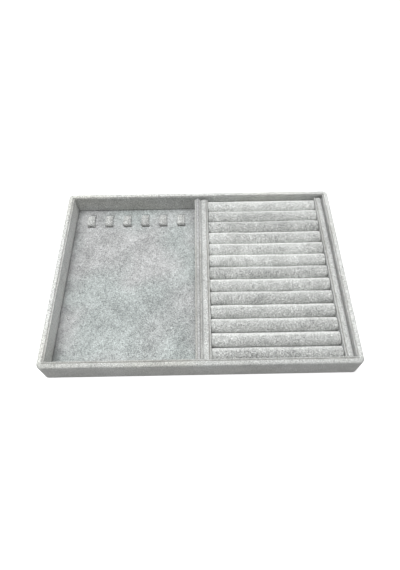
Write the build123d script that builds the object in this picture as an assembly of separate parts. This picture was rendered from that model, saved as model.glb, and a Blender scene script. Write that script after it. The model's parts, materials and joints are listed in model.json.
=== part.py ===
from build123d import *
import os

os.makedirs("parts", exist_ok=True)

# A velvet-covered jewellery tray. The left compartment holds a lift-out necklace pad with six
# hook straps. The right compartment holds a lift-out insert with a row of padded ring rolls.
# The origin is the centre of the underside, with X to the right, Y to the back and Z up.

# Tray, outside
tray_width = 350.0
tray_depth = 240.0
tray_height = 32.0
tray_corner_radius = 6.0
rim_outer_radius = 2.4
rim_inner_radius = 1.4

# Materials: velvet cloth, greyboard and fibreboard
velvet = 0.6
base_board = 2.0
wall_board = 4.5
divider_board = 2.4
liner_board = 1.2
wall_board_outer_bevel = 1.2
wall_board_inner_bevel = 0.5
hem_width = 14.0
sheet_inset = 3.0

# Wall liners
liner_drop = 0.4
liner_face_radius = 0.9
liner_back_radius = 0.4

# Divider between the two compartments
divider_x = -1.4
divider_height = 28.0
divider_top_radius = 1.6
divider_liner_height = 26.2

# Necklace pad
pad_board = 1.0
pad_clearance = 0.5
pad_hem_width = 5.5
pad_edge_radius = 0.5

# Hook straps on the pad
strap_count = 6
strap_left_margin = 21.0
strap_right_margin = 18.0
strap_back_margin = 9.0
strap_width = 9.0
strap_span = 19.0
strap_rise = 4.0
strap_foot_rise = 0.5
strap_tail = 6.0
strap_slot = 1.8
strap_slot_clearance = 0.3
strap_back_radius = 2.0
strap_slope_radius = 12.0
strap_crown_radius = 20.0
strap_front_radius = 2.4
# The strap climbs slowly from its back slot, crowns and drops steeply into its front slot
strap_slope_span_share = 0.29
strap_slope_rise_share = 0.83
strap_crown_span_share = 0.68
strap_front_rise_share = 0.78

# Ring insert
insert_left_clearance = 0.6
insert_right_clearance = 1.4
insert_front_clearance = 0.4
insert_back_clearance = 1.6
insert_height = 28.0
rail_board = 6.0
rail_outer_radius = 3.5
rail_inner_radius = 1.2

# Ring rolls
roll_count = 13
roll_gap = 0.3
roll_end_gap = 0.3
roll_wadding = 1.4
# How far the cover draws in at a roll's ends, and the length over which it does
roll_end_draw = 1.3
roll_end_reach = 9.0

# An overrun for cuts that pass through a face
overrun = 5.0

# Levels, from the table up
hem_z = velvet
base_z = hem_z + velvet
base_top_z = base_z + base_board
floor_z = base_top_z + velvet
wall = wall_board + 2 * velvet
liner = liner_board + velvet
liner_top_z = tray_height - liner_drop

# The cavity inside the wrapped walls, and inside the liners
cavity_x = tray_width / 2 - wall
cavity_y = tray_depth / 2 - wall
lined_x = cavity_x - liner
lined_y = cavity_y - liner

# The divider's faces
divider = divider_board + 2 * velvet
divider_left_x = divider_x - divider / 2
divider_right_x = divider_x + divider / 2

# The necklace pad's place
pad_left_x = -lined_x + pad_clearance
pad_right_x = divider_left_x - liner - pad_clearance
pad_x = (pad_left_x + pad_right_x) / 2
pad_width = pad_right_x - pad_left_x
pad_depth = 2 * (lined_y - pad_clearance)
pad_board_z = floor_z + velvet
pad_board_top_z = pad_board_z + pad_board
pad_top_z = pad_board_top_z + velvet

# The ring insert's place
insert_left_x = divider_right_x + liner + insert_left_clearance
insert_right_x = lined_x - insert_right_clearance
insert_x = (insert_left_x + insert_right_x) / 2
insert_width = insert_right_x - insert_left_x
insert_front_y = -lined_y + insert_front_clearance
insert_back_y = lined_y - insert_back_clearance
insert_y = (insert_front_y + insert_back_y) / 2
insert_depth = insert_back_y - insert_front_y
insert_hem_z = floor_z + velvet
insert_board_z = insert_hem_z + velvet
insert_board_top_z = insert_board_z + base_board
rail = rail_board + 2 * velvet
rail_liner_top_z = insert_height - liner_drop

# The ring rolls' sizes
roll_pitch = insert_depth / roll_count
roll_width = roll_pitch - roll_gap
roll_length = insert_width - 2 * (rail + liner + roll_end_gap)
roll_cover = velvet + roll_wadding


def save(name, shape):
    """Write one sub-part to its own STEP file."""
    export_step(shape, os.path.join("parts", name + ".step"))


def block(low, high):
    """A box between two corners."""
    size = [b - a for a, b in zip(low, high)]
    middle = [(a + b) / 2 for a, b in zip(low, high)]
    return Pos(*middle) * Box(*size)


def plate(inset, z_low, z_high):
    """A slab with the tray's outline, drawn in by the inset, with its upright corners rounded."""
    outline = RectangleRounded(
        tray_width - 2 * inset, tray_depth - 2 * inset, tray_corner_radius - inset
    )
    return extrude(Pos(0, 0, z_low) * outline, amount=z_high - z_low)


def wall_ring(outer_inset, inner_inset, z_low, z_high):
    """The four walls as one plain ring."""
    slab = plate(outer_inset, z_low, z_high)
    inner_x = tray_width / 2 - inner_inset
    inner_y = tray_depth / 2 - inner_inset
    hollow = block(
        (-inner_x, -inner_y, z_low - overrun), (inner_x, inner_y, z_high + overrun)
    )
    return slab - hollow


def rim_edges(ring):
    """The outer and the inner edges of a ring's top face."""
    rim = ring.faces().sort_by(Axis.Z)[-1]
    return rim.outer_wire().edges(), rim.inner_wires()[0].edges()


def board_ring():
    """The wall boards before they are parted at the corners, with their top edges bevelled."""
    ring = wall_ring(velvet, wall - velvet, base_top_z, tray_height - velvet)
    ring = chamfer(rim_edges(ring)[0], wall_board_outer_bevel)
    return chamfer(rim_edges(ring)[1], wall_board_inner_bevel)


def skin_ring():
    """The velvet round the wall boards, still solid, with both edges of its rim rounded."""
    ring = wall_ring(0, wall, hem_z, tray_height)
    ring = fillet(rim_edges(ring)[0], rim_outer_radius)
    return fillet(rim_edges(ring)[1], rim_inner_radius)


def make_tray_shell():
    """The base and wall boards, and the velvet that wraps them and turns in underneath."""
    base = plate(velvet, base_z, base_top_z)
    boards = board_ring()
    skin = skin_ring()
    hem_x = tray_width / 2 - hem_width
    hem_y = tray_depth / 2 - hem_width
    hem = plate(0, hem_z, base_z) - block((-hem_x, -hem_y, 0), (hem_x, hem_y, tray_height))
    save("base_board", base)
    save("outer_wrap", skin + hem - base - boards)
    save("underside_sheet", plate(sheet_inset, 0, hem_z))

    end_y = tray_depth / 2 - wall + velvet
    far_x = tray_width / 2
    far_y = tray_depth / 2
    parts = {
        "front_wall_board": ((-far_x, -far_y, 0), (far_x, -end_y, tray_height)),
        "back_wall_board": ((-far_x, end_y, 0), (far_x, far_y, tray_height)),
        "left_wall_board": ((-far_x, -end_y, 0), (0, end_y, tray_height)),
        "right_wall_board": ((0, -end_y, 0), (far_x, end_y, tray_height)),
    }
    for name, corners in parts.items():
        save(name, boards & block(*corners))


def make_floor_linings():
    """A velvet sheet on the base board in each compartment, under the feet of the liners."""
    save(
        "necklace_floor_lining",
        block((-cavity_x, -cavity_y, base_top_z), (divider_left_x, cavity_y, floor_z)),
    )
    save(
        "ring_floor_lining",
        block((divider_right_x, -cavity_y, base_top_z), (cavity_x, cavity_y, floor_z)),
    )


def strip(width, length, z_low, z_high, left_radius, right_radius):
    """An upright strip along Y from x = 0, with its two top edges rounded."""
    outline = FilletPolyline(
        (0, z_low), (0, z_high), (width, z_high), (width, z_low), radius=(left_radius, right_radius)
    )
    foot = Line((width, z_low), (0, z_low))
    section = make_face([outline, foot])
    start = Plane(origin=(0, length / 2, 0), x_dir=(1, 0, 0), z_dir=(0, -1, 0))
    return extrude(start * section, amount=length)


def make_liner(name, place, length, z_low, z_high):
    """A card strip against a wall, and the velvet that covers its face and folds over its top."""
    card = block((0, -length / 2, z_low), (liner_board, length / 2, z_high - velvet))
    outer = strip(liner, length, z_low, z_high, liner_back_radius, liner_face_radius)
    save(name + "_board", place * card)
    save(name + "_cover", place * (outer - card))


def make_wall_liners():
    """The front and back liners run the full width, and the side liners stand between them."""
    full = 2 * cavity_x
    between = 2 * lined_y
    make_liner("front_liner", Pos(0, -cavity_y, 0) * Rot(0, 0, 90), full, floor_z, liner_top_z)
    make_liner("back_liner", Pos(0, cavity_y, 0) * Rot(0, 0, -90), full, floor_z, liner_top_z)
    make_liner("left_liner", Pos(-cavity_x, 0, 0), between, floor_z, liner_top_z)
    make_liner("right_liner", Pos(cavity_x, 0, 0) * Rot(0, 0, 180), between, floor_z, liner_top_z)


def make_divider():
    """The wrapped board between the compartments, and the lower liner on each of its faces."""
    length = 2 * lined_y
    inner_radius = divider_top_radius - velvet
    board = strip(
        divider_board, length, base_top_z, divider_height - velvet, inner_radius, inner_radius
    )
    board = Pos(velvet, 0, 0) * board
    outer = strip(
        divider, length, base_top_z, divider_height, divider_top_radius, divider_top_radius
    )
    place = Pos(divider_left_x, 0, 0)
    save("divider_board", place * board)
    save("divider_wrap", place * (outer - board))
    left = Pos(divider_left_x, 0, 0) * Rot(0, 0, 180)
    right = Pos(divider_right_x, 0, 0)
    make_liner("divider_left_liner", left, length, floor_z, divider_liner_height)
    make_liner("divider_right_liner", right, length, floor_z, divider_liner_height)


def strap_xs():
    """The places of the hook straps, spaced evenly between the pad's side margins."""
    first = pad_left_x + strap_left_margin
    pitch = (pad_width - strap_left_margin - strap_right_margin) / (strap_count - 1)
    return [first + pitch * i for i in range(strap_count)]


def strap_slots(z_low, z_high):
    """The pairs of slots that the straps pass through."""
    back_y = pad_depth / 2 - strap_back_margin
    half = strap_width / 2 + strap_slot_clearance
    slots = []
    for x in strap_xs():
        for y in (back_y, back_y - strap_span):
            low = (x - half, y - strap_slot / 2, z_low)
            high = (x + half, y + strap_slot / 2, z_high)
            slots.append(block(low, high))
    return slots


def pad_slab(inset, z_low, z_high):
    """A slab with the pad's outline, drawn in by the inset."""
    return block(
        (pad_left_x + inset, -pad_depth / 2 + inset, z_low),
        (pad_right_x - inset, pad_depth / 2 - inset, z_high),
    )


def make_pad():
    """The pad board, and the velvet that covers it, turns under it and is slit for the straps."""
    board = pad_slab(velvet, pad_board_z, pad_board_top_z)
    skin = pad_slab(0, floor_z, pad_top_z)
    skin = fillet(skin.faces().sort_by(Axis.Z)[-1].edges(), pad_edge_radius)
    under = pad_slab(pad_hem_width, 0, pad_board_z)
    cover = skin - board - under
    for slot in strap_slots(0, tray_height):
        board -= slot
        cover -= slot
    save("pad_board", board)
    save("pad_cover", cover)


def strap_arch():
    """The middle line of a strap from its back slot, over the pad, into its front slot."""
    back_y = pad_depth / 2 - strap_back_margin
    front_y = back_y - strap_span
    crown_z = pad_top_z + strap_rise
    slope_y = back_y - strap_span * strap_slope_span_share
    slope_z = pad_top_z + strap_rise * strap_slope_rise_share
    crown_y = back_y - strap_span * strap_crown_span_share
    front_z = pad_top_z + strap_rise * strap_front_rise_share
    points = [
        (0, back_y, floor_z),
        (0, back_y, pad_top_z + strap_foot_rise),
        (0, slope_y, slope_z),
        (0, crown_y, crown_z),
        (0, front_y, front_z),
        (0, front_y, floor_z),
    ]
    radii = (strap_back_radius, strap_slope_radius, strap_crown_radius, strap_front_radius)
    return FilletPolyline(*points, radius=radii)


def strap_tails():
    """The ends of a strap, pressed flat under the pad board and pointing at each other."""
    half = strap_width / 2
    back_y = pad_depth / 2 - strap_back_margin + velvet / 2
    front_y = back_y - strap_span - velvet
    back = block((-half, back_y - strap_tail, floor_z), (half, back_y, pad_board_z))
    front = block((-half, front_y, floor_z), (half, front_y + strap_tail, pad_board_z))
    return back, front


def make_straps():
    """Six velvet ribbons, each arched over the pad with its ends glued under the pad board."""
    arch = strap_arch()
    back, front = strap_tails()
    start = Plane(origin=arch @ 0, x_dir=(1, 0, 0), z_dir=arch % 0)
    strap = sweep(start * Rectangle(strap_width, velvet), path=arch) + back + front
    for i, x in enumerate(strap_xs()):
        save("hook_strap_%d" % (i + 1), Pos(x, 0, 0) * strap)


def left_rail():
    """The left rail's board, and its velvet, which turns in under the insert's base board."""
    inner_length = insert_depth - 2 * velvet
    board = strip(
        rail_board,
        inner_length,
        insert_board_top_z,
        insert_height - velvet,
        rail_outer_radius - velvet,
        rail_inner_radius - velvet,
    )
    board = Pos(velvet, 0, 0) * board
    skin = strip(
        rail, insert_depth, insert_hem_z, insert_height, rail_outer_radius, rail_inner_radius
    )
    hem = block(
        (0, -insert_depth / 2, insert_hem_z), (hem_width, insert_depth / 2, insert_board_z)
    )
    base = block(
        (velvet, -inner_length / 2, insert_board_z),
        (hem_width + overrun, inner_length / 2, insert_board_top_z),
    )
    place = Pos(insert_left_x, insert_y, 0)
    return place * board, place * (skin + hem - board - base)


def make_rails():
    """Two rails, one the mirror image of the other, each with a lined inner face."""
    board, wrap = left_rail()
    middle = Plane(origin=(insert_x, 0, 0), x_dir=(0, 1, 0), z_dir=(1, 0, 0))
    save("left_rail_board", board)
    save("left_rail_wrap", wrap)
    save("right_rail_board", mirror(board, about=middle))
    save("right_rail_wrap", mirror(wrap, about=middle))
    left = Pos(insert_left_x + rail, insert_y, 0)
    right = Pos(insert_right_x - rail, insert_y, 0) * Rot(0, 0, 180)
    make_liner("left_rail_liner", left, insert_depth, insert_board_top_z, rail_liner_top_z)
    make_liner("right_rail_liner", right, insert_depth, insert_board_top_z, rail_liner_top_z)


def make_insert_base():
    """The board under the rails and rolls, and the sheet that covers it from below."""
    save(
        "insert_base_board",
        block(
            (insert_left_x + velvet, insert_front_y + velvet, insert_board_z),
            (insert_right_x - velvet, insert_back_y - velvet, insert_board_top_z),
        ),
    )
    save(
        "insert_underside_sheet",
        block(
            (insert_left_x + sheet_inset, insert_front_y + sheet_inset, floor_z),
            (insert_right_x - sheet_inset, insert_back_y - sheet_inset, insert_hem_z),
        ),
    )


def roll_bar(inset, z_low):
    """A bar along X with a flat foot, upright sides and a round crest, less an inset all round."""
    half = roll_width / 2 - inset
    crest = insert_height - inset
    shoulder = crest - half
    sides = Polyline((-half, shoulder), (-half, z_low), (half, z_low), (half, shoulder))
    crown = ThreePointArc((half, shoulder), (0, crest), (-half, shoulder))
    across = Plane(origin=(inset - roll_length / 2, 0, 0), x_dir=(0, 1, 0), z_dir=(1, 0, 0))
    return extrude(across * make_face([sides, crown]), amount=roll_length - 2 * inset)


def draw_in(end):
    """The roll that an end face belongs to, drawn in there all round but at its foot."""
    edges = end.edges().sort_by(Axis.Z)[1:]
    return chamfer(edges, length=roll_end_draw, length2=roll_end_reach, reference=end)


def make_rolls():
    """The ring rolls: a row of straight foam bars, each in its own padded velvet cover."""
    foam = roll_bar(roll_cover, insert_board_top_z)
    hollow = roll_bar(roll_cover, insert_board_top_z - overrun)
    form = roll_bar(0, insert_board_top_z)
    form = draw_in(form.faces().sort_by(Axis.X)[0])
    form = draw_in(form.faces().sort_by(Axis.X)[-1])
    cover = form - hollow
    cores = []
    for i in range(roll_count):
        place = Pos(insert_x, insert_back_y - roll_pitch * (i + 1 / 2), 0)
        save("ring_roll_cover_%02d" % (i + 1), place * cover)
        cores.append(place * foam)
    save("roll_foam_cores", Compound(children=cores))


make_tray_shell()
make_floor_linings()
make_wall_liners()
make_divider()
make_pad()
make_straps()
make_rails()
make_insert_base()
make_rolls()
print("roll pitch %.2f mm, roll length %.1f mm" % (roll_pitch, roll_length))
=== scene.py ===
# %% [markdown]
# # Dressing a velvet jewellery tray
# The CAD frame already holds every board, card strip and cloth skin in its right place.
# This lesson lays real-looking velvet over it: a wrapped wall, card liners with folded tops, a
# flat pad with hook straps, and thirteen foam rolls that hold rings.
# Each piece is made in millimetres, because that is how a tray maker measures, and is turned
# into metres when it is handed over.

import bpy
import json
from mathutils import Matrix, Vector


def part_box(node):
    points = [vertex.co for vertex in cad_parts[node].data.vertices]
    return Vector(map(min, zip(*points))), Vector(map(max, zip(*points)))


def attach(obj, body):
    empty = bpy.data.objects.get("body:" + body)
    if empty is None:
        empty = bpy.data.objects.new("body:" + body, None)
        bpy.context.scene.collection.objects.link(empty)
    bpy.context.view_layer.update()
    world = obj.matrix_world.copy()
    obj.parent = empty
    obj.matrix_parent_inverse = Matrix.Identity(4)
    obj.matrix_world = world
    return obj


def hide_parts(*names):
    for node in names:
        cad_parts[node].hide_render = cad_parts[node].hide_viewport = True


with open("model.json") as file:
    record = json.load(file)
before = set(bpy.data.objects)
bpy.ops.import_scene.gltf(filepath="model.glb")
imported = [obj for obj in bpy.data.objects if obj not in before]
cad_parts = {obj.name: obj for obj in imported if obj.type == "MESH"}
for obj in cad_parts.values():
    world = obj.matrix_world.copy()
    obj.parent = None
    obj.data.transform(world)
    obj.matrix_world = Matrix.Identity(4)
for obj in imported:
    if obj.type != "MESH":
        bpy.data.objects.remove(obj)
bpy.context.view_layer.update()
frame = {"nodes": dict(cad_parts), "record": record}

# %% Tools and units
import json
import math

import bmesh
import bpy
from mathutils import Matrix, Vector, noise

MM = 0.001
NEAR = 0.01
nodes = frame["nodes"]
scene = bpy.context.scene


def room(node):
    """The lowest and highest corner of a CAD node, in millimetres."""
    low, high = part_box(node)
    return Vector(low) / MM, Vector(high) / MM


def near(a, b):
    """Whether two lengths are the same, but for rounding."""
    return abs(a - b) < NEAR


def ramp(value, start, reach):
    """Rises evenly from 0 at the start to 1 at the end of the reach."""
    return min(1.0, max(0.0, (value - start) / reach))


# %% [markdown]
# ## Measures shared by several pieces
# The velvet is 0.6 mm thick everywhere, and an outline's long edges are divided so that no cell
# of the cloth is longer than 4 mm. The other measures are read from the CAD nodes, so the
# dressed pieces sit exactly where the boards are.

# %% Measures
VELVET = 0.6
CELL = 4.0
tray_low, tray_high = room("outer_wrap")
base_top = room("base_board")[1].z
print("tray", [round(v, 2) for v in tray_high - tray_low], "base top", round(base_top, 2))

# %% [markdown]
# ## Cloth in code
# Cloth over a board has one outline, the same all along. So a line is drawn first, its corners
# are rounded, and the line is then pulled along the board, leaving cloth behind it. The same
# few helpers make every wrapped wall, liner and rail. A rounding is given as two numbers: how
# far from the corner it starts, and into how many segments it is divided.


# %% Drawing and pulling a line
def draw_line(bm, points):
    """Lays a few points and joins them in order. Returns the points."""
    corners = [bm.verts.new(point) for point in points]
    for a, b in zip(corners, corners[1:]):
        bm.edges.new((a, b))
    return corners


def round_off(bm, parts, reach, segments, affect):
    """Rounds points or edges. The curve starts at a distance of reach from each."""
    bmesh.ops.bevel(
        bm,
        geom=parts,
        offset=reach,
        offset_type="OFFSET",
        segments=segments,
        profile=0.5,
        affect=affect,
        material=-1,
        clamp_overlap=affect == "EDGES",
    )


def round_corner(bm, corner, reach, segments):
    """Rounds one corner of a line."""
    round_off(bm, [corner], reach, segments, "VERTICES")


def split_long(bm, longest):
    """Divides each edge of a line that is longer than the given length."""
    for edge in list(bm.edges):
        cuts = int(edge.calc_length() / longest)
        if cuts:
            bmesh.ops.subdivide_edges(bm, edges=[edge], cuts=cuts)


def only(geometry, kind):
    """The verts, edges or faces out of an operator's result."""
    return [item for item in geometry if isinstance(item, kind)]


def pull(bm, edges, way, count):
    """Pulls a line along in equal steps, leaving cloth behind. Returns its last place."""
    step = Vector(way) / count
    for _ in range(count):
        made = bmesh.ops.extrude_edge_only(bm, edges=edges)["geom"]
        bmesh.ops.translate(bm, verts=only(made, bmesh.types.BMVert), vec=step)
        edges = only(made, bmesh.types.BMEdge)
    return edges


def turn(bm, edges, centre, count):
    """Turns a line a quarter round an upright axis, leaving cloth behind."""
    ends = list(dict.fromkeys(vert for edge in edges for vert in edge.verts))
    made = bmesh.ops.spin(
        bm,
        geom=ends + edges,
        cent=centre,
        axis=(0, 0, 1),
        dvec=(0, 0, 0),
        angle=math.pi / 2,
        steps=count,
        use_merge=False,
        use_normal_flip=False,
        use_duplicate=False,
    )["geom_last"]
    return only(made, bmesh.types.BMEdge)


def give_thickness(bm):
    """Merges doubles, turns faces outwards and gives the cloth its thickness inwards."""
    bmesh.ops.remove_doubles(bm, verts=bm.verts, dist=NEAR)
    bmesh.ops.recalc_face_normals(bm, faces=bm.faces)
    bmesh.ops.solidify(bm, geom=bm.faces[:], thickness=VELVET)


# %% [markdown]
# ## Small unevenness
# Nothing glued by hand is perfectly straight, so a smooth noise moves every point a little.
# Waves are given as four numbers: how far they reach, how long they are, the height under which
# nothing moves, and how far above it the movement is in full. AT_ONCE is so short a rise that
# the movement is in full from the start. The noise starts from the clock unless it is told
# otherwise, so its start is set once here, and every run gives the same tray. A piece's own
# seed only shifts it to another place in that noise.

# %% Unevenness
NOISE_START = 1
SEED_STEP = (17.3, 5.1, 9.7)
AT_ONCE = 0.001
noise.seed_set(NOISE_START)


def ease(bm, reach, length, foot, rise, seed):
    """Moves points by smooth noise, the more the higher they lie above the foot."""
    shift = Vector([seed * step for step in SEED_STEP])
    for vert in bm.verts:
        share = ramp(vert.co.z, foot, rise)
        if share:
            vert.co += noise.noise_vector(vert.co / length + shift) * reach * share


# %% [markdown]
# ## Node helpers
# Every material is built from the same few steps: make a node, set it, and feed its inputs with
# other nodes or plain values.

# %% Nodes
VECTOR, COLOUR, NUMBER = "NodeSocketVector", "NodeSocketColor", "NodeSocketFloat"
MIX_SHARE, MIX_FIRST, MIX_SECOND, MIX_RESULT = 0, 6, 7, 2
WHITE = (1, 1, 1, 1)


def grey(level):
    """A grey of that linear level."""
    return (level, level, level, 1)


def feed(tree, node, inputs):
    """Links a node's inputs to other nodes, or sets them to plain values."""
    for label, value in inputs.items():
        if isinstance(value, bpy.types.NodeSocket):
            tree.links.new(value, node.inputs[label])
        else:
            node.inputs[label].default_value = value


def add_node(tree, kind, inputs=None, **settings):
    """A node with its settings and its inputs."""
    node = tree.nodes.new(kind)
    for label, value in settings.items():
        setattr(node, label, value)
    feed(tree, node, inputs or {})
    return node


def add_noise(tree, vector, scale, detail, roughness, distortion):
    """A noise texture on a vector. Returns its value."""
    inputs = {"Vector": vector, "Scale": scale, "Detail": detail}
    inputs.update({"Roughness": roughness, "Distortion": distortion})
    return add_node(tree, "ShaderNodeTexNoise", inputs).outputs["Fac"]


def add_math(tree, operation, *values):
    """A math node on sockets or plain numbers. Returns its value."""
    inputs = dict(enumerate(values))
    return add_node(tree, "ShaderNodeMath", inputs, operation=operation).outputs[0]


def add_range(tree, value, span, result):
    """A clamped map range. Returns its value."""
    inputs = dict(zip(("From Min", "From Max", "To Min", "To Max"), (*span, *result)))
    inputs["Value"] = value
    return add_node(tree, "ShaderNodeMapRange", inputs).outputs["Result"]


def add_mix(tree, share, first, second, blend="MIX"):
    """A mix of two colours. Returns its colour."""
    inputs = {MIX_SHARE: share, MIX_FIRST: first, MIX_SECOND: second}
    node = add_node(tree, "ShaderNodeMix", inputs, data_type="RGBA", blend_type=blend)
    return node.outputs[MIX_RESULT]


def add_bump(tree, height, strength, distance):
    """Turns a height into a rough surface. Returns its normal."""
    inputs = {"Strength": strength, "Distance": distance, "Height": height}
    return add_node(tree, "ShaderNodeBump", inputs).outputs["Normal"]


def new_group(name, inputs, outputs):
    """A shader node group with named sockets. Returns it with what it is given and gives."""
    group = bpy.data.node_groups.new(name, "ShaderNodeTree")
    for way, sockets in (("INPUT", inputs), ("OUTPUT", outputs)):
        for label, kind in sockets:
            group.interface.new_socket(name=label, in_out=way, socket_type=kind)
    given = group.nodes.new("NodeGroupInput").outputs
    return group, given, group.nodes.new("NodeGroupOutput")


def new_material(name):
    """An empty node material, its nodes and its Principled BSDF."""
    material = bpy.data.materials.new(name)
    material.use_nodes = True
    tree = material.node_tree
    return material, tree, next(n for n in tree.nodes if n.type == "BSDF_PRINCIPLED")


# %% [markdown]
# ## Velvet
# The tray is covered with pale grey crushed velvet. Its pile leans this way and that, so it
# looks mottled: broad soft patches, strokes where a hand has brushed it, and a fine fibre
# speckle of about a millimetre, and a slow change of cast runs over the cloth. Light and shade
# are painted on as well: where a piece's share of painted light is high, the cloth is painted
# paler and shows more of its speckle. A picture of velvet could be used, but it would repeat.
# So one node group makes these layers from the object's own coordinates, and they stay at their
# true size on every piece. The group puts out a colour, a roughness and a height, and the
# shader itself stays in each material.

# %% The velvet group
# Scale, detail, roughness and distortion of each noise
CAST_NOISE = (13.0, 1.0, 0.4, 0.3)
BROAD_NOISE = (28.0, 2.0, 0.5, 0.6)
PATCH_NOISE = (95.0, 3.0, 0.6, 1.2)
STROKE_NOISE = (400.0, 1.0, 0.5, 2.6)
FIBRE_NOISE = (1100.0, 1.0, 0.6, 1.2)
# The part of a noise or value that is used, and what it becomes
SOFT, CRISP = (0.3, 0.7), (0.35, 0.65)
CAST_TURNS, PAINTED_LIGHT_SPAN = (0.4, 0.6), (0.1, 0.95)
CENTRED, WHOLE = (-0.5, 0.5), (0.0, 1.0)
ROUGHNESS = (0.95, 0.8)
STROKE_HEIGHT = 0.35


def make_nap_group():
    """The velvet's casts, patches, brush strokes and fibre speckle, and its painted light."""
    group, given, outside = new_group(
        "velvet_nap",
        [
            ("Vector", VECTOR),
            ("Painted Light", NUMBER),
            ("Dark Colour", COLOUR),
            ("Pale Colour", COLOUR),
            ("First Cast", COLOUR),
            ("Second Cast", COLOUR),
            ("Level", NUMBER),
            ("Painted Light Strength", NUMBER),
            ("Quiet", NUMBER),
            ("Patches", NUMBER),
            ("Strokes", NUMBER),
            ("Speckle", NUMBER),
        ],
        [("Colour", COLOUR), ("Roughness", NUMBER), ("Height", NUMBER)],
    )
    cast, broad, patch, stroke, fibre = [
        add_noise(group, given["Vector"], *layer)
        for layer in (CAST_NOISE, BROAD_NOISE, PATCH_NOISE, STROKE_NOISE, FIBRE_NOISE)
    ]
    broad, patch = [add_range(group, value, SOFT, CENTRED) for value in (broad, patch)]
    strokes, fibres = [add_range(group, value, CRISP, CENTRED) for value in (stroke, fibre)]
    # Painted light: where its share is high, the cloth is painted paler and its grain is
    # louder.
    painted_lit = add_range(group, given["Painted Light"], PAINTED_LIGHT_SPAN, WHOLE)
    patches = add_math(group, "ADD", broad, patch)
    level = add_math(group, "MULTIPLY_ADD", painted_lit, given["Painted Light Strength"], given["Level"])
    grain = add_math(group, "MULTIPLY", strokes, given["Strokes"])
    grain = add_math(group, "MULTIPLY_ADD", fibres, given["Speckle"], grain)
    grain_where_lit = add_math(group, "MAXIMUM", painted_lit, given["Quiet"])
    total = add_math(group, "MULTIPLY_ADD", patches, given["Patches"], level)
    total = add_math(group, "MULTIPLY_ADD", grain, grain_where_lit, total)
    share = add_range(group, total, WHOLE, WHOLE)
    colour = add_mix(group, share, given["Dark Colour"], given["Pale Colour"])
    share = add_range(group, cast, CAST_TURNS, WHOLE)
    tint = add_mix(group, share, given["First Cast"], given["Second Cast"])
    feed(
        group,
        outside,
        {
            "Colour": add_mix(group, 1.0, colour, tint, "MULTIPLY"),
            "Roughness": add_range(group, total, WHOLE, ROUGHNESS),
            "Height": add_math(group, "MULTIPLY_ADD", strokes, STROKE_HEIGHT, fibres),
        },
    )
    return group


nap_group = make_nap_group()
print("velvet group nodes", len(nap_group.nodes))

# %% [markdown]
# ## A velvet for each part of the tray
# The same roll of cloth covers everything, but wear and painted light make each part a little
# different. So each part has its own dark and pale shade, its own two casts, its own strength
# of painted light, and its own strengths of patches, strokes and speckle. Sheen is what makes
# velvet glow at its edges. It is the same all over, so it is set on the shader's own socket.

# %% Velvet materials
PILE_DEPTH = 0.0005
WARM = (1.0, 1.01, 0.955, 1)
PLAIN = (1.0, 1.02, 0.995, 1)
GREENISH = (0.955, 1.03, 1.015, 1)
VIOLET = (0.995, 1.008, 1.01, 1)


def make_velvet(name, shades, casts, level, painted_light_strength, quiet, layers, relief=0.4):
    """A velvet with its own shades, colour casts and strengths of the three layers."""
    material, tree, shader = new_material(name)
    nap = add_node(
        tree,
        "ShaderNodeGroup",
        {
            "Vector": add_node(tree, "ShaderNodeTexCoord").outputs["Object"],
            "Painted Light": add_node(
                tree, "ShaderNodeAttribute", attribute_name="painted_light_share"
            ).outputs["Fac"],
            "Dark Colour": grey(shades[0]),
            "Pale Colour": grey(shades[1]),
            "First Cast": casts[0],
            "Second Cast": casts[1],
            "Level": level,
            "Painted Light Strength": painted_light_strength,
            "Quiet": quiet,
            "Patches": layers[0],
            "Strokes": layers[1],
            "Speckle": layers[2],
        },
        node_tree=nap_group,
    )
    feed(
        tree,
        shader,
        {
            "Base Color": nap.outputs["Colour"],
            "Roughness": nap.outputs["Roughness"],
            "Normal": add_bump(tree, nap.outputs["Height"], relief, PILE_DEPTH),
            "Specular IOR Level": 0.15,
            "Sheen Weight": 0.55,
            "Sheen Roughness": 0.45,
        },
    )
    return material


# Each velvet's level is its tone where no painted light falls, and the number after it says how
# much paler painted light makes it; below zero, as on the back liner, it paints shade instead.
# The rails' low level leaves their sides in painted shade.
wrap_velvet = make_velvet(
    "wrap velvet", shades=(0.22, 0.9), casts=(WARM, PLAIN),
    level=0.16, painted_light_strength=0.5, quiet=0.35, layers=(0.1, 0.2, 1.2),
)
liner_velvet = make_velvet(
    "liner velvet", shades=(0.3, 0.8), casts=(WARM, PLAIN),
    level=0.3, painted_light_strength=0.44, quiet=0.6, layers=(0.2, 0.3, 1.0),
)
back_liner_velvet = make_velvet(
    "back liner velvet", shades=(0.22, 0.8), casts=(WARM, PLAIN),
    level=0.43, painted_light_strength=-0.43, quiet=0.7, layers=(0.15, 0.35, 1.2),
)
pad_velvet = make_velvet(
    "pad velvet", shades=(0.2, 0.74), casts=(GREENISH, VIOLET),
    level=0.0, painted_light_strength=0.42, quiet=0.5, layers=(0.24, 0.5, 0.7),
)
roll_velvet = make_velvet(
    "roll velvet", shades=(0.1, 0.95), casts=(PLAIN, PLAIN),
    level=0.295, painted_light_strength=0.6, quiet=0.8, layers=(0.12, 0.42, 0.75), relief=0.12,
)
strap_velvet = make_velvet(
    "strap velvet", shades=(0.22, 0.82), casts=(PLAIN, PLAIN),
    level=0.2, painted_light_strength=0.32, quiet=0.7, layers=(0.2, 0.7, 1.4),
)
sheet_velvet = make_velvet(
    "lining velvet", shades=(0.3, 0.62), casts=(PLAIN, PLAIN),
    level=0.4, painted_light_strength=0.1, quiet=0.6, layers=(0.25, 0.3, 0.3),
)
rail_velvet = make_velvet(
    "rail velvet", shades=(0.2, 0.82), casts=(PLAIN, PLAIN),
    level=0.08, painted_light_strength=0.46, quiet=0.4, layers=(0.12, 0.25, 0.8),
)
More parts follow.
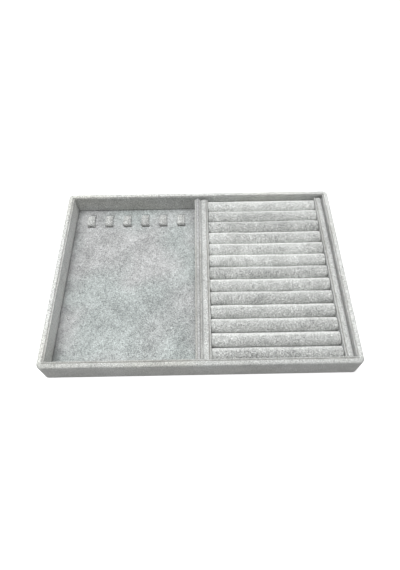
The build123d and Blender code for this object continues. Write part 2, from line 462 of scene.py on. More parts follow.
divider_velvet = make_velvet(
    "divider velvet", shades=(0.26, 0.73), casts=(PLAIN, VIOLET),
    level=0.34, painted_light_strength=0.06, quiet=0.4, layers=(0.2, 0.45, 1.0),
)
print("velvets made", len(bpy.data.materials))

# %% [markdown]
# ## Boards
# The boards hide inside the velvet and show only in the slots or when a piece is lifted out.
# Fibreboard is brown and flecked, greyboard is pressed paper, and the foam is pale with small
# pores. All three are one group with different colours: flecks on a plain ground.

# %% Board materials
CLOUD_NOISE = (60.0, 3.0, 0.5, 0.0)
FLECK_NOISE = (700.0, 4.0, 0.7, 1.5)
FLECKS = (0.45, 0.7)
BOARD_RELIEF, BOARD_DEPTH = 0.2, 0.0002


def make_board_group():
    """Pressed fibres: fine flecks over slow clouds."""
    group, given, outside = new_group(
        "pressed_fibre",
        [("Vector", VECTOR), ("Ground", COLOUR), ("Fleck", COLOUR)],
        [("Colour", COLOUR), ("Height", NUMBER)],
    )
    cloud = add_noise(group, given["Vector"], *CLOUD_NOISE)
    fleck = add_noise(group, given["Vector"], *FLECK_NOISE)
    share = add_math(group, "MULTIPLY", add_range(group, fleck, FLECKS, WHOLE), cloud)
    colour = add_mix(group, share, given["Ground"], given["Fleck"])
    feed(group, outside, {"Colour": colour, "Height": fleck})
    return group


def make_board(name, ground, fleck):
    """A pressed board."""
    material, tree, shader = new_material(name)
    vector = add_node(tree, "ShaderNodeTexCoord").outputs["Object"]
    inputs = {"Vector": vector, "Ground": ground, "Fleck": fleck}
    made = add_node(tree, "ShaderNodeGroup", inputs, node_tree=board_group).outputs
    normal = add_bump(tree, made["Height"], BOARD_RELIEF, BOARD_DEPTH)
    feed(tree, shader, {"Base Color": made["Colour"], "Normal": normal, "Roughness": 0.85})
    return material


board_group = make_board_group()
fibreboard = make_board("fibreboard", (0.33, 0.21, 0.12, 1), (0.13, 0.08, 0.045, 1))
greyboard = make_board("greyboard", (0.3, 0.29, 0.27, 1), (0.14, 0.14, 0.13, 1))
foam_block = make_board("packing foam", (0.72, 0.71, 0.66, 1), (0.5, 0.49, 0.45, 1))

# %% [markdown]
# Every CAD node gets the material of its slot, so what shows in a gap or under a lifted piece
# is the right stuff too.

# %% Materials for the CAD nodes
by_slot = {
    "wrap_velvet": wrap_velvet,
    "liner_velvet": liner_velvet,
    "pad_velvet": pad_velvet,
    "roll_velvet": roll_velvet,
    "strap_velvet": strap_velvet,
    "sheet_velvet": sheet_velvet,
    "greyboard": greyboard,
    "fibreboard": fibreboard,
    "foam": foam_block,
}
slot_of = {row["node"]: row["material_slot"] for row in frame["record"]["subparts"]}
body_of = {
    node: body for body, members in frame["record"]["behaviour"]["bodies"].items()
    for node in members
}
for node, thing in nodes.items():
    thing.data.materials.clear()
    thing.data.materials.append(by_slot[slot_of[node]])
print("nodes with a material", len(nodes))


# %% [markdown]
# ## Handing a piece over
# A finished piece goes from millimetres to metres, gets smooth shading and its velvet, rides on
# the body of the node that it stands for, and hides that node. A rule gives the share of
# painted
# light at each of its points: the cloth is painted paler where it faces one way, which is
# upwards unless a piece has a rule of its own.

# %% Handing over
def painted_light_facing(x, y, z):
    """Gives a rule for painted light: the cloth is painted paler where it faces one way."""
    way = Vector((x, y, z))
    return lambda vert: max(0.0, vert.normal.dot(way))


def hand_over(bm, node, velvet=None, painted_light_rule=painted_light_facing(0, 0, 1)):
    """Turns a finished mesh into a piece that stands for a CAD node."""
    bmesh.ops.scale(bm, vec=(MM, MM, MM), verts=bm.verts)
    for face in bm.faces:
        face.smooth = True
    mesh = bpy.data.meshes.new(node + ".cloth")
    bm.to_mesh(mesh)
    bm.free()
    pile = mesh.attributes.new("painted_light_share", "FLOAT", "POINT")
    pile.data.foreach_set("value", [painted_light_rule(v) for v in mesh.vertices])
    mesh.materials.append(velvet or by_slot[slot_of[node]])
    piece = bpy.data.objects.new(mesh.name, mesh)
    scene.collection.objects.link(piece)
    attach(piece, body_of[node])
    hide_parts(node)
    low, high = room(node)
    past = [
        round(pick(v.co[axis] for v in mesh.vertices) / MM - corner[axis], 2)
        for pick, corner in ((max, high), (min, low))
        for axis in range(3)
    ]
    print(piece.name, len(mesh.polygons), "faces, past its node by", past)
    return piece


# %% [markdown]
# ## The wrapped wall
# One sheet of velvet goes up the outside, over the padded rim and down the inside, and is
# turned in underneath. Its outline is drawn once at the front and pulled round the tray: a
# straight run, a quarter turn, and so on four times. Modelling four walls and joining them at
# the corners would leave seams that the real tray doesn't have. The wrap is painted paler where
# it faces up, as painted light, and the front rim gets less of it, so it is darker than the
# rest.

# %% Wrap measures
RIM_OUTER = (2.4, 8)
RIM_INNER = (1.4, 6)
HEM_FOLD = (0.6, 3)
WALL = 5.7
CORNER = 6.0
CORNER_STEPS = 9
RUN_STEP = 3.0
WRAP_LONG_WAVES = (0.16, 24.0, 1.0, 6.0)
WRAP_SHORT_WAVES = (0.1, 5.0, 24.0, 5.0)
FRONT_LIGHT_SHARE = 0.57
FRONT_FROM, FRONT_FADE = 9, 5


def painted_light_less_in_front(vert):
    """Painted light: the wrap is painted paler where it faces up, and less so on the front rim.
    """
    in_front = ramp(-vert.co.y / MM, tray_high.y - FRONT_FROM, FRONT_FADE)
    return max(0.0, vert.normal.z) * (1 - (1 - FRONT_LIGHT_SHARE) * in_front)


def make_outer_wrap():
    """The velvet round the walls, from its hem over the rim to the foot of the inner side."""
    bm = bmesh.new()
    far_x, far_y = tray_high.x - CORNER, tray_high.y - CORNER
    outline = [
        (WALL, tray_low.z),
        (0, tray_low.z),
        (0, tray_high.z),
        (WALL, tray_high.z),
        (WALL, base_top),
    ]
    corners = draw_line(bm, [(-far_x, inset - tray_high.y, z) for inset, z in outline])
    for corner, rounding in zip(corners[1:], (HEM_FOLD, RIM_OUTER, RIM_INNER)):
        round_corner(bm, corner, *rounding)
    split_long(bm, CELL)
    edges = bm.edges[:]
    for way, middle in (
        ((2 * far_x, 0, 0), (far_x, -far_y, 0)),
        ((0, 2 * far_y, 0), (far_x, far_y, 0)),
        ((-2 * far_x, 0, 0), (-far_x, far_y, 0)),
        ((0, -2 * far_y, 0), (-far_x, -far_y, 0)),
    ):
        count = round(Vector(way).length / RUN_STEP)
        edges = turn(bm, pull(bm, edges, way, count), middle, CORNER_STEPS)
    ease(bm, *WRAP_LONG_WAVES, seed=1)
    ease(bm, *WRAP_SHORT_WAVES, seed=2)
    give_thickness(bm)
    return hand_over(bm, "outer_wrap", painted_light_rule=painted_light_less_in_front)


make_outer_wrap()


# %% [markdown]
# ## Card liners
# A strip of card covered with velvet stands against each wall. Only its face and its folded top
# show, and between that top and the rim there is a dark groove, the seam that runs all round
# the tray. The fold isn't even: it touches the rim here and leaves a gap there, which makes the
# groove look like a row of dashes. So the top edge stands a little off the rim and gets a short
# wave besides the long one. On the rails the fold is looser, and the groove wider. All eight
# have one outline, so each is made looking towards +X and then turned to its place.

# %% Liners
LINER = 1.8
LINER_BACK = (0.65, 4)
LINER_FACE = (0.9, 5)
BACK_LINER_FACE = (1.7, 5)
LINER_TUCK = 0.1
LINER_STEP = 1.4
LINER_WAVES = (0.15, 30.0)
LINER_RISE = 6.0
SEAM_WAVE = 2.6
SEAM_DEPTH, SEAM_RISE = 1.5, 1.2
# How far the fold waves, and how far it stands off what is behind it
SEAM, RAIL_SEAM = (0.4, 0.45), (0.5, 0.7)
ANGLES = {"+x": 0.0, "+y": math.pi / 2, "-x": math.pi, "-y": -math.pi / 2}
LINERS = (
    ("left_liner_cover", "+x"),
    ("right_liner_cover", "-x"),
    ("front_liner_cover", "+y"),
    ("back_liner_cover", "-y"),
    ("divider_left_liner_cover", "-x"),
    ("divider_right_liner_cover", "+x"),
    ("left_rail_liner_cover", "+x"),
    ("right_rail_liner_cover", "-x"),
)


def make_liner(node, way, seed):
    """A covered card strip. The way is the direction that its face looks in."""
    low, high = room(node)
    facing = "xy".index(way[1])
    length = (high - low)[1 - facing]
    top, foot = high.z, low.z
    at_back = node == "back_liner_cover"
    reach, seam_open = RAIL_SEAM if "rail" in node else SEAM
    bm = bmesh.new()
    points = [(0, top - LINER_BACK[0] - LINER_TUCK), (0, top), (LINER, top), (LINER, foot)]
    corners = draw_line(bm, [(x, -length / 2, z) for x, z in points])
    round_corner(bm, corners[1], *LINER_BACK)
    round_corner(bm, corners[2], *(BACK_LINER_FACE if at_back else LINER_FACE))
    split_long(bm, CELL)
    pull(bm, bm.edges[:], (0, length, 0), round(length / LINER_STEP))
    give_thickness(bm)
    for vert in bm.verts:
        vert.co.x += seam_open * ramp(vert.co.z, top - SEAM_DEPTH, SEAM_RISE)
    ease(bm, reach, SEAM_WAVE, top - SEAM_DEPTH, SEAM_RISE, seed)
    ease(bm, *LINER_WAVES, foot, LINER_RISE, seed + 0.5)
    turned = Matrix.Rotation(ANGLES[way], 3, "Z")
    bmesh.ops.rotate(bm, cent=(0, 0, 0), matrix=turned, verts=bm.verts)
    behind = (low + high) / 2
    behind[facing] = low[facing] if way[0] == "+" else high[facing]
    behind.z = 0
    bmesh.ops.translate(bm, vec=behind, verts=bm.verts)
    # Painted light: the back liner is painted darker on its folded top, and the others paler
    # where their face looks towards +X.
    if at_back:
        return hand_over(bm, node, back_liner_velvet)
    return hand_over(bm, node, painted_light_rule=painted_light_facing(1, 0, 0))


for seed, (node, way) in enumerate(LINERS, start=3):
    make_liner(node, way, seed)


# %% [markdown]
# ## The divider
# A thin wrapped board stands between the two compartments. Its velvet goes over the top in one
# soft round, so both top corners are rounded almost to the middle.

# %% Divider
DIVIDER_ROUND = (1.6, 6)
DIVIDER_STEP = 2.0
DIVIDER_LONG_WAVES = (0.14, 22.0)
DIVIDER_RISE = 8.0
DIVIDER_SHORT_WAVES = (0.08, 4.0, 24.0, 3.0)


def make_divider_wrap():
    """The velvet over the divider board."""
    low, high = room("divider_wrap")
    length = high.y - low.y
    bm = bmesh.new()
    points = [(low.x, low.z), (low.x, high.z), (high.x, high.z), (high.x, low.z)]
    corners = draw_line(bm, [(x, low.y, z) for x, z in points])
    for corner in corners[1:3]:
        round_corner(bm, corner, *DIVIDER_ROUND)
    split_long(bm, CELL)
    pull(bm, bm.edges[:], (0, length, 0), round(length / DIVIDER_STEP))
    ease(bm, *DIVIDER_LONG_WAVES, low.z, DIVIDER_RISE, seed=12)
    ease(bm, *DIVIDER_SHORT_WAVES, seed=13)
    give_thickness(bm)
    return hand_over(bm, "divider_wrap", divider_velvet)


make_divider_wrap()


# %% [markdown]
# ## The rails of the ring insert
# Each rail is a straight bar wrapped in velvet, with a soft outer shoulder and a sharper inner
# edge. The wrap closes the bar's ends, goes down to the underside and turns in there as a hem.
# It could be pulled along like the wall, but then its ends would be open. So it starts as a
# box. Its edges are bevelled with their own radii, and the faces that the real cloth doesn't
# have are deleted before the rest gets its thickness.

# %% Rails
RAIL = 7.2
RAIL_OUTER = (3.5, 8)
RAIL_INNER = (1.2, 5)
RAIL_END = (0.8, 3)
RAIL_BULGE = 0.5
RAIL_CUTS = (0.0, 6.0, 12.0)
RAIL_MARGIN, RAIL_STEP = 1, 2.5
RAIL_LONG_WAVES = (0.14, 20.0, 8.0, 8.0)
RAIL_SHORT_WAVES = (0.1, 4.5, 22.0, 4.0)
MOSTLY = 0.9
insert_board_top = room("insert_base_board")[1].z


def box_between(bm, low, high):
    """A box between two corners."""
    bmesh.ops.create_cube(bm, size=1.0)
    bmesh.ops.scale(bm, vec=high - low, verts=bm.verts)
    bmesh.ops.translate(bm, vec=(low + high) / 2, verts=bm.verts)


def edges_where(bm, test):
    """The edges whose two ends both pass a test."""
    return [e for e in bm.edges if all(test(v.co) for v in e.verts)]


def cut(bm, axis, at):
    """Cuts the whole mesh along a plane across one axis."""
    normal = Vector([1.0 if i == axis else 0.0 for i in range(3)])
    bmesh.ops.bisect_plane(
        bm, geom=bm.verts[:] + bm.edges[:] + bm.faces[:], plane_co=normal * at, plane_no=normal
    )


def slice_along(bm, axis, low, high, step):
    """Cuts a mesh into even slices across one axis."""
    count = max(1, round((high - low) / step))
    for i in range(1, count):
        cut(bm, axis, low + (high - low) * i / count)


def make_rail(node, side, seed):
    """A rail's wrap. The side is -1 for the left rail and 1 for the right one."""
    low, high = room(node)
    outer, hem_to = (low.x, high.x) if side < 0 else (high.x, low.x)
    inner = outer - side * RAIL
    bm = bmesh.new()
    box_between(
        bm,
        Vector((min(outer, inner), low.y, low.z)),
        Vector((max(outer, inner), high.y, high.z)),
    )
    for x, rounding in ((outer, RAIL_OUTER), (inner, RAIL_INNER)):
        edges = edges_where(bm, lambda co: near(co.x, x) and near(co.z, high.z))
        round_off(bm, edges, *rounding, "EDGES")
    ends = []
    for edge in bm.edges:
        closing = [abs(face.normal.y) > MOSTLY for face in edge.link_faces]
        on_foot = all(near(v.co.z, low.z) for v in edge.verts)
        if len(closing) == 2 and any(closing) and not all(closing) and not on_foot:
            ends.append(edge)
    round_off(bm, ends, *RAIL_END, "EDGES")
    for height in RAIL_CUTS:
        cut(bm, 2, insert_board_top + height)
    slice_along(bm, 1, low.y + RAIL_MARGIN, high.y - RAIL_MARGIN, RAIL_STEP)
    middles = {face: face.calc_center_median() for face in bm.faces}
    no_cloth = [
        face for face, middle in middles.items()
        if near(middle.x, inner) and middle.z < insert_board_top
    ]
    bmesh.ops.delete(bm, geom=no_cloth, context="FACES")
    for vert in bm.verts:
        if near(vert.co.x, outer):
            vert.co.x += side * RAIL_BULGE
    hem_from = [
        e for e in edges_where(bm, lambda co: near(co.z, low.z) and near(co.x, inner))
        if e.is_boundary
    ]
    pull(bm, hem_from, (hem_to - inner, 0, 0), 2)
    ease(bm, *RAIL_LONG_WAVES, seed)
    ease(bm, *RAIL_SHORT_WAVES, seed + 1)
    give_thickness(bm)
    # Painted shade: the rail's sides get no painted light, so they are much darker than its
    # top.
    return hand_over(bm, node, rail_velvet)


make_rail("left_rail_wrap", -1, seed=15)
make_rail("right_rail_wrap", 1, seed=17)


# %% [markdown]
# ## The necklace pad
# Twelve slits let the hook straps through, and the cloth dips a little round each of them. A
# plane is cut where the slits are, the faces in them are removed, and the outer edge is pulled
# down and in to make the folded hem. The pad is painted paler where it faces up, as painted
# light, and gets painted shade along its left edge, strongest next to the wall and fading over
# a few centimetres.

# %% Pad
PAD_CELLS = (54, 74)
PAD_EDGE = (0.5, 3)
PAD_HEM = 5.5
PAD_FUZZ = 0.3
PAD_TOP = 1
PAD_WAVES = (0.1, 35.0)
DIMPLE, DIMPLE_REACH = 0.3, 1.4
SHADE_AT_LEFT = ((0.5, 8.0), (0.2, 40.0))
STRAPS = 6
pad_low, pad_high = room("pad_cover")
strap_rooms = [room("hook_strap_%d" % (i + 1)) for i in range(STRAPS)]
strap_xs = [(low.x + high.x) / 2 for low, high in strap_rooms]
back_y = strap_rooms[0][1].y - VELVET / 2
front_y = strap_rooms[0][0].y + VELVET / 2
# Where each row of slits lies, and half its length and width
SLIT_ROWS = ((back_y - 0.12, 4.6, 0.42), (front_y, 5.2, 0.95))
print("slits at x", [round(x, 1) for x in strap_xs], "y", round(back_y, 1), round(front_y, 1))


def from_slit(co):
    """How far a point is from the nearest slit, or less than zero within one."""
    return min(
        max(abs(co.x - x) - half_x, abs(co.y - y) - half_y)
        for x in strap_xs
        for y, half_x, half_y in SLIT_ROWS
    )


def on_pad_rim(co):
    """Whether a point lies on the pad's outer edge."""
    sides = (co.x - pad_low.x, pad_high.x - co.x, co.y - pad_low.y, pad_high.y - co.y)
    return min(sides) < NEAR


def shaded_at_left(vert):
    """Painted light on the pad, with painted shade towards its left edge."""
    inwards = vert.co.x / MM - pad_low.x
    left_shade = sum(share * math.exp(-inwards / reach) for share, reach in SHADE_AT_LEFT)
    return max(0.0, vert.normal.z) * (1 - left_shade)


def make_pad_cover():
    """The pad's velvet with its slits and its folded hem."""
    bm = bmesh.new()
    middle, size = (pad_low + pad_high) / 2, pad_high - pad_low
    bmesh.ops.create_grid(bm, x_segments=PAD_CELLS[0], y_segments=PAD_CELLS[1], size=0.5)
    bmesh.ops.scale(bm, vec=(size.x, size.y, 1), verts=bm.verts)
    bmesh.ops.translate(bm, vec=(middle.x, middle.y, pad_high.z), verts=bm.verts)
    for y, half_x, half_y in SLIT_ROWS:
        for away in (half_y, half_y + DIMPLE_REACH):
            cut(bm, 1, y - away)
            cut(bm, 1, y + away)
        for x in strap_xs:
            for away in (half_x, half_x + DIMPLE_REACH):
                cut(bm, 0, x - away)
                cut(bm, 0, x + away)
    holes = [f for f in bm.faces if from_slit(f.calc_center_median()) < 0]
    bmesh.ops.delete(bm, geom=holes, context="FACES")
    rim = [e for e in edges_where(bm, on_pad_rim) if e.is_boundary]
    foot = pull(bm, rim, (0, 0, pad_low.z - pad_high.z), 1)
    made = bmesh.ops.extrude_edge_only(bm, edges=foot)["geom"]
    shrink = Vector((1 - 2 * PAD_HEM / size.x, 1 - 2 * PAD_HEM / size.y, 1))
    about = Matrix.Translation(-Vector((middle.x, middle.y, 0)))
    bmesh.ops.scale(bm, vec=shrink, space=about, verts=only(made, bmesh.types.BMVert))
    top = [
        e for e in edges_where(bm, lambda co: near(co.z, pad_high.z) and on_pad_rim(co))
        if len(e.link_faces) == 2
    ]
    round_off(bm, top, *PAD_EDGE, "EDGES")
    give_thickness(bm)
    for vert in bm.verts:
        if vert.co.z > pad_high.z - PAD_TOP:
            near_slit = max(0.0, 1 - max(0.0, from_slit(vert.co)) / DIMPLE_REACH)
            vert.co.z -= DIMPLE * near_slit**2
    for axis in (0, 1):
        for vert in bm.verts:
            if vert.co[axis] < pad_low[axis] + NEAR:
                vert.co[axis] -= PAD_FUZZ
            elif vert.co[axis] > pad_high[axis] - NEAR:
                vert.co[axis] += PAD_FUZZ
    ease(bm, *PAD_WAVES, pad_high.z - PAD_TOP, AT_ONCE, seed=19)
    return hand_over(bm, "pad_cover", painted_light_rule=shaded_at_left)


make_pad_cover()

# %% [markdown]
# ## Hook straps
# Each strap is a velvet ribbon that comes out of one slit, arches over the pad and goes down
# into the other, so that a necklace can hang from it. It climbs slowly from the back and drops
# steeply at the front. A few points give its side view, which is pulled across the ribbon's
# width. Then the ribbon is bent the way that fingers leave it: creased along its right half,
# drooping at its edges, wider where it drops, and leaning to the left. No two straps stand up
# quite alike.

# %% Straps
STRAP_WIDTH = 9.0
STRAP_STEPS = 8
STRAP_CELL = 1.6
TAIL = 6.0
FOLD = (0.5, 3)
FOOT_RISE = 0.5
SLOPE_SPAN, SLOPE_RISE = 0.29, 0.80
CROWN_SPAN = 0.66
DROP_RISE = 0.78
STRAP_ROUNDS = (FOLD, (1.6, 5), (3.0, 5), (3.2, 6), (2.2, 7), FOLD)
STRAP_WAVES = (0.12, 5.0)
DROOP = 0.28
FLARE = 0.9
WIDEN = 0.5
LEFTWARDS = 1.0
CORNER_DRAW = 1.8
CREASE, CREASE_AT, CREASE_WIDTH = 0.35, 0.47, 0.17
TWIST_LIFT, TWIST_LEAN = 4, 3
FRONT_REACH, FRONT_RAMP = 5.0, 4.0
FREE_AT_ONCE = 3
# How high each strap rises, how far its crown leans forward, and its twist
STRAP_LOOKS = (
    (1.0, 0.2, 0.03),
    (0.95, -0.1, -0.02),
    (1.04, 0.1, 0.02),
    (0.97, 0.0, -0.03),
    (1.06, -0.2, 0.015),
    (1.0, 0.15, -0.02),
)


def near_crease(side):
    """How near a point is to the crease, from 0 to 1. The side runs from -1 to 1."""
    return math.exp(-(((side - CREASE_AT) / CREASE_WIDTH) ** 2))


def painted_strap_light(middle, half):
    """Painted light and shade: the ribbon is paler where it faces back and up, and painted
    darker in its crease.
    """
    back_light = painted_light_facing(0, 0.75, 0.66)
    return lambda vert: back_light(vert) * (
        1 - near_crease((vert.co.x / MM - middle + LEFTWARDS) / half)
    )


def make_strap(number):
    """One hook strap: its side view pulled across its width."""
    low, high = strap_rooms[number]
    rise, lean, twist = STRAP_LOOKS[number]
    back, front = high.y - VELVET / 2, low.y + VELVET / 2
    tail_z, crest = low.z + VELVET / 2, high.z - VELVET / 2
    pad_top = pad_high.z
    climb = (crest - pad_top) * rise
    span = back - front
    middle, half = (low.x + high.x) / 2, STRAP_WIDTH / 2
    points = [
        (back - TAIL, tail_z),
        (back, tail_z),
        (back, pad_top + FOOT_RISE),
        (back - SLOPE_SPAN * span, pad_top + SLOPE_RISE * climb),
        (back - CROWN_SPAN * span - lean, pad_top + climb),
        (front, pad_top + DROP_RISE * climb),
        (front, tail_z),
        (front + TAIL, tail_z),
    ]
    bm = bmesh.new()
    corners = draw_line(bm, [(middle - half, y, z) for y, z in points])
    for corner, rounding in zip(corners[1:-1], STRAP_ROUNDS):
        round_corner(bm, corner, *rounding)
    split_long(bm, STRAP_CELL)
    pull(bm, bm.edges[:], (STRAP_WIDTH, 0, 0), STRAP_STEPS)
    for vert in bm.verts:
        side = (vert.co.x - middle) / half
        above = max(0.0, vert.co.z - pad_top - FOOT_RISE) / (crest - pad_top)
        free = min(1.0, above * FREE_AT_ONCE)
        vert.co.z -= DROOP * side**4 * above
        vert.co.z += TWIST_LIFT * twist * side * above
        vert.co.x += TWIST_LEAN * twist * above * above
        at_front = ramp(front + FRONT_REACH - vert.co.y, 0, FRONT_RAMP) * free
        vert.co.z -= CREASE * near_crease(side) * above
        vert.co.x += side * (FLARE * at_front + WIDEN * above)
        vert.co.x -= LEFTWARDS * free
        vert.co.y += CORNER_DRAW * side**4 * at_front
    ease(bm, *STRAP_WAVES, pad_top, AT_ONCE, seed=30 + number)
    give_thickness(bm)
    node = "hook_strap_%d" % (number + 1)
    return hand_over(bm, node, painted_light_rule=painted_strap_light(middle, half + WIDEN))


for number in range(STRAPS):
    make_strap(number)


# %% [markdown]
# ## Ring rolls
# A ring roll is a bar of foam in a padded velvet cover, glued down at its foot. The cover is
# pulled tight, so the crest is round and a little higher in the middle, and the ends are nearly
# square with a narrow gap beside the rails. The form is an outline with one round crest, pulled
# along and closed at both ends in two small steps. The row spreads like a fan: its back rolls
# lean back a little, and its front ones forward.

# %% Roll form
ROLLS = 13
END_GAP = 0.6
END_STEP = 0.5
END_CAPS = ((0.9, 0.08), (0.5, 0.05))
START_SMALLER = 0.35
CREST_SHARE, CREST_STEPS = 0.995, 10
CREST_MERGE = 0.2
ROLL_CELL, ROLL_STEP = 3.2, 2.9
SHOULDER, SHOULDER_DRAW = 1.8, 0.25
CHEEK, CHEEK_DRAW = 12.0, 0.4
DRAW_RISE = 5.0
FAR_SIDE_SHARE, CREST_DRAW_SHARE = 0.15, 0.25
ARCH = 0.8
FAN = 1.3


def roll_draw(place):
    """How far the near side draws in at a distance from the roll's end."""
    near_end = max(0.0, 1 - place / SHOULDER)
    further = max(0.0, 1 - place / CHEEK)
    return SHOULDER_DRAW * near_end**2 + CHEEK_DRAW * further**2


def close_end(bm, line, way, centre):
    """Closes one end of a roll in steps that shrink towards its centre."""
    about = Matrix.Translation(-centre)
    for scale, push in END_CAPS:
        made = bmesh.ops.extrude_edge_only(bm, edges=line)["geom"]
        verts = only(made, bmesh.types.BMVert)
        bmesh.ops.scale(bm, vec=(1, scale, scale), space=about, verts=verts)
        bmesh.ops.translate(bm, vec=(way * push, 0, 0), verts=verts)
        line = only(made, bmesh.types.BMEdge)
    bmesh.ops.edgeloop_fill(bm, edges=line)


def make_roll_start(low, high, fan):
    """The form before it is blown up. The fan is 1 for the back roll, -1 for the front one."""
    bm = bmesh.new()
    half = (high.y - low.y) / 2 - START_SMALLER
    crest = high.z - START_SMALLER
    middle = (low.y + high.y) / 2
    centre_z = (low.z + crest) / 2
    length = high.x - low.x - 2 * END_GAP
    points = [(half, low.z), (half, crest), (-half, crest), (-half, low.z)]
    corners = draw_line(bm, [(low.x + END_GAP, middle + y, z) for y, z in points])
    for corner in corners[1:3]:
        round_corner(bm, corner, half * CREST_SHARE, CREST_STEPS)
    bmesh.ops.remove_doubles(bm, verts=bm.verts, dist=CREST_MERGE)
    bm.edges.new([v for v in bm.verts if len(v.link_edges) == 1])
    split_long(bm, ROLL_CELL)
    first = last = bm.edges[:]
    for run, count in (
        (END_STEP, 1), (length - 2 * END_STEP, round(length / ROLL_STEP)), (END_STEP, 1)
    ):
        last = pull(bm, last, (run, 0, 0), count)
    for line, way in ((first, -1), (last, 1)):
        close_end(bm, line, way, Vector((0, middle, centre_z)))
    for vert in bm.verts:
        place = min(vert.co.x - low.x, high.x - vert.co.x)
        draw = roll_draw(max(0.0, place))
        above = min(1.0, (vert.co.z - low.z) / DRAW_RISE)
        side_share = 1.0 if vert.co.y < middle else FAR_SIDE_SHARE
        share = 1 - draw * above / half * side_share
        vert.co.y = middle + (vert.co.y - middle) * share
        share_up = max(0.0, (vert.co.z - centre_z) / (crest - centre_z))
        from_middle = abs(2 * place / (high.x - low.x) - 1)
        vert.co.z -= (draw * CREST_DRAW_SHARE + ARCH * from_middle**4) * share_up
        vert.co.y += FAN * fan * share_up
    bmesh.ops.recalc_face_normals(bm, faces=bm.faces)
    return bm


# %% [markdown]
# ### Blowing the rolls up
# Each form is blown up a little with Blender's cloth, with its foot pinned, as the foam would
# push it. How far a point may move is capped, so that the rolls don't press into each other.
# The cloth's result hangs on the order of its points, so they are sorted first, and every run
# gives the same rolls.

# %% Blowing up
PRESSURE = 4.0
FRAMES = 16
CAP = 0.55
PINNED = 1.5
CLOTH = {
    "quality": 5,
    "mass": 0.15,
    "tension_stiffness": 20,
    "compression_stiffness": 20,
    "shear_stiffness": 8,
    "bending_stiffness": 0.6,
    "use_pressure": True,
    "uniform_pressure_force": PRESSURE,
    "vertex_group_mass": "foot",
}


def ends_of(part):
    """The numbers of a part's points, in order."""
    return sorted(vert.index for vert in part.verts)


def put_in_order(bm):
    """Sorts points by place, and edges and faces by the numbers of their points."""
    for parts, key in (
        (bm.verts, lambda vert: tuple(vert.co)), (bm.edges, ends_of), (bm.faces, ends_of)
    ):
        for rank, part in enumerate(sorted(parts, key=key)):
            part.index = rank
        parts.sort()


def blow_up(bm, low):
    """Runs the cloth on a form whose foot is pinned. Returns the blown form, in millimetres."""
    put_in_order(bm)
    mesh = bpy.data.meshes.new("roll_start")
    bmesh.ops.scale(bm, vec=(MM, MM, MM), verts=bm.verts)
    bm.to_mesh(mesh)
    bm.free()
    form = bpy.data.objects.new("roll_start", mesh)
    scene.collection.objects.link(form)
    foot = form.vertex_groups.new(name="foot")
    pinned = [v.index for v in mesh.vertices if v.co.z < (low.z + PINNED) * MM]
    foot.add(pinned, 1.0, "REPLACE")
    cloth = form.modifiers.new("cloth", "CLOTH")
    for label, value in CLOTH.items():
        setattr(cloth.settings, label, value)
    cloth.settings.effector_weights.gravity = 0.0
    cloth.point_cache.frame_end = FRAMES + 1
    scene.frame_start, scene.frame_end = 1, FRAMES + 1
    for step in range(1, FRAMES + 1):
        scene.frame_set(step)
    blown = form.evaluated_get(bpy.context.evaluated_depsgraph_get()).to_mesh()
    moves = [b.co - a.co for a, b in zip(mesh.vertices, blown.vertices)]
    form.to_mesh_clear()
    far = max(move.length for move in moves) / MM
    for vert, move in zip(mesh.vertices, moves):
        if move.length > CAP * MM:
            move = move * (CAP * MM / move.length)
        vert.co += move
    finished = bmesh.new()
    finished.from_mesh(mesh)
    bmesh.ops.scale(finished, vec=(1 / MM,) * 3, verts=finished.verts)
    bpy.data.objects.remove(form)
    bpy.data.meshes.remove(mesh)
    print("moved at most", round(far, 2), "mm before the cap")
    return finished


# %% [markdown]
# ### Finishing the rolls
# A blown roll stays within its own room but for a little swell, and is smoothed once. It gets a
# painted highlight along the far shoulder of its crest, over a fainter painted light on the
# rest, and each roll's painted light has its own strength.

# %% Rolls
ROLL_WAVES = (0.3, 26.0, 14.0, 8.0)
SWELL_Y, SWELL_Z = 0.5, 0.3
ROLL_LIGHT, ROLL_HIGHLIGHT = 0.3, 0.62
HIGHLIGHT_AT, HIGHLIGHT_WIDTH = 0.68, 0.28
# From the back roll to the front one
SHOULDER_LIGHT = (1.4, 0.97, 0.8, 1.16, 1.25, 1.3, 0.75, 1.12, 0.76, 0.95, 0.85, 0.93, 0.65)


def painted_shoulder_light(strength):
    """Gives a rule for a roll's painted light, with a painted highlight along its far shoulder.
    """

    def rule(vert):
        on_shoulder = math.exp(-(((vert.normal.y - HIGHLIGHT_AT) / HIGHLIGHT_WIDTH) ** 2))
        return strength * (ROLL_LIGHT + ROLL_HIGHLIGHT * on_shoulder)

    return rule


def make_roll(number):
    """One ring roll, blown up and then smoothed."""
    node = "ring_roll_cover_%02d" % (number + 1)
    low, high = room(node)
    bm = make_roll_start(low, high, 1 - 2 * number / (ROLLS - 1))
    ease(bm, *ROLL_WAVES, seed=40 + number)
    finished = blow_up(bm, low)
    limit_y = (high.y - low.y) / 2 + SWELL_Y
    middle = (low.y + high.y) / 2
    for vert in finished.verts:
        vert.co.z = min(max(vert.co.z, low.z), high.z + SWELL_Z)
        vert.co.y = middle + max(-limit_y, min(limit_y, vert.co.y - middle))
    piece = hand_over(finished, node, painted_light_rule=painted_shoulder_light(SHOULDER_LIGHT[number]))
    smooth = piece.modifiers.new("smooth", "SUBSURF")
    smooth.levels = 1
    smooth.render_levels = 1
    return piece


scene.frame_set(1)
for number in range(ROLLS):
    make_roll(number)
scene.frame_set(1)

# %% [markdown]
# ## Floor, light and camera
# The floor is plain and nearly white. One broad soft lamp hangs above the tray, a little to its
# left and towards its back, so the upright faces that look at the camera are darker than the
# tops. The world adds a low even fill, and is white where the camera, a reflection or glass
# sees it.

# %% Floor
FLOOR_SIZE = 6.0
FLOOR_GLOW = 0.62


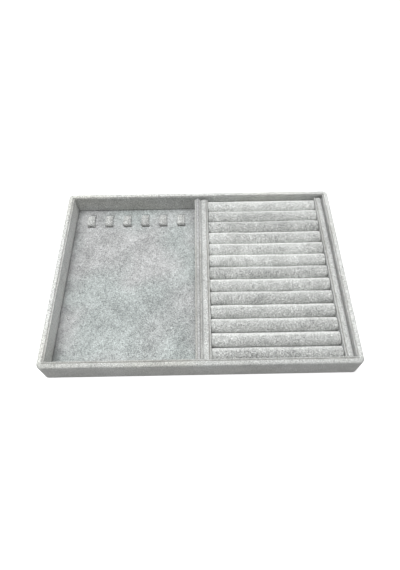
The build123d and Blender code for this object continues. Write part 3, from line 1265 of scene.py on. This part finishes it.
def make_floor():
    """A plain pale floor under the tray."""
    bm = bmesh.new()
    bmesh.ops.create_grid(bm, x_segments=1, y_segments=1, size=FLOOR_SIZE / 2)
    mesh = bpy.data.meshes.new("floor")
    bm.to_mesh(mesh)
    bm.free()
    floor = bpy.data.objects.new("floor", mesh)
    scene.collection.objects.link(floor)
    material, tree, shader = new_material("pale floor")
    seen = add_node(tree, "ShaderNodeLightPath").outputs["Is Camera Ray"]
    feed(
        tree,
        shader,
        {
            "Base Color": grey(0.8),
            "Roughness": 1.0,
            "Specular IOR Level": 0.0,
            "Emission Color": WHITE,
            "Emission Strength": add_math(tree, "MULTIPLY", seen, FLOOR_GLOW),
        },
    )
    mesh.materials.append(material)
    return floor


make_floor()


# %% Light
LAMP_PLACE = Vector((-0.13, 0.1, 1.45))
LAMP_SIZE = (1.5, 0.8)
LAMP_POWER = 24.5
FILL = 0.31
lamp = bpy.data.lights.new("key lamp", "AREA")
lamp.shape = "RECTANGLE"
lamp.size, lamp.size_y = LAMP_SIZE
lamp.energy = LAMP_POWER
key = bpy.data.objects.new("key lamp", lamp)
scene.collection.objects.link(key)
key.location = LAMP_PLACE
key.rotation_euler = (-LAMP_PLACE).to_track_quat("-Z", "Y").to_euler()

world = bpy.data.worlds.new("studio")
world.use_nodes = True
scene.world = world
sky = world.node_tree
back = next(n for n in sky.nodes if n.type == "BACKGROUND")
seen = add_node(sky, "ShaderNodeLightPath").outputs
direct = add_math(sky, "MAXIMUM", seen["Is Camera Ray"], seen["Is Glossy Ray"])
direct = add_math(sky, "MAXIMUM", direct, seen["Is Transmission Ray"])
strength = add_math(sky, "MULTIPLY_ADD", direct, 1 - FILL, FILL)
feed(sky, back, {"Strength": strength, "Color": WHITE})
print("lamp of", lamp.energy, "W, fill of", FILL)

# %% [markdown]
# The camera stands where the photographer stood. Its place, its turn and its focal length, in
# millimetres, radians and pixels, follow from the tray's own corners and edges in the photo.
# The shift says how far the picture's middle lies from where the camera looks.

# %% Camera
CAMERA_PLACE = Vector((4.4736, -270.6384, 483.5302))
DOWN, ASIDE, TILT = 0.9851, -0.0067, 0.0116
FOCUS = 435.4659
PHOTO_HEIGHT = 570
SHIFT = (4.2642, -36.7682)
SENSOR = 36.0
CLIP_START = 0.01
level = Matrix(((1, 0, 0), (0, 0, 1), (0, -1, 0)))
look = (
    Matrix.Rotation(TILT, 3, "Z") @ Matrix.Rotation(DOWN, 3, "X")
    @ level @ Matrix.Rotation(-ASIDE, 3, "Z")
)
lens = bpy.data.cameras.new("camera")
lens.sensor_width = SENSOR
lens.lens = FOCUS / PHOTO_HEIGHT * SENSOR
lens.shift_x = -SHIFT[0] / PHOTO_HEIGHT
lens.shift_y = SHIFT[1] / PHOTO_HEIGHT
lens.clip_start = CLIP_START
camera = bpy.data.objects.new("camera", lens)
scene.collection.objects.link(camera)
camera.matrix_world = Matrix.Translation(CAMERA_PLACE * MM) @ look.transposed().to_4x4()
scene.camera = camera
print("camera at", [round(v, 3) for v in camera.location], "lens", round(lens.lens, 2))

# %% [markdown]
# The standard view shows the greys as they are lit, without a film's curve.

# %% View settings
scene.view_settings.view_transform = "Standard"
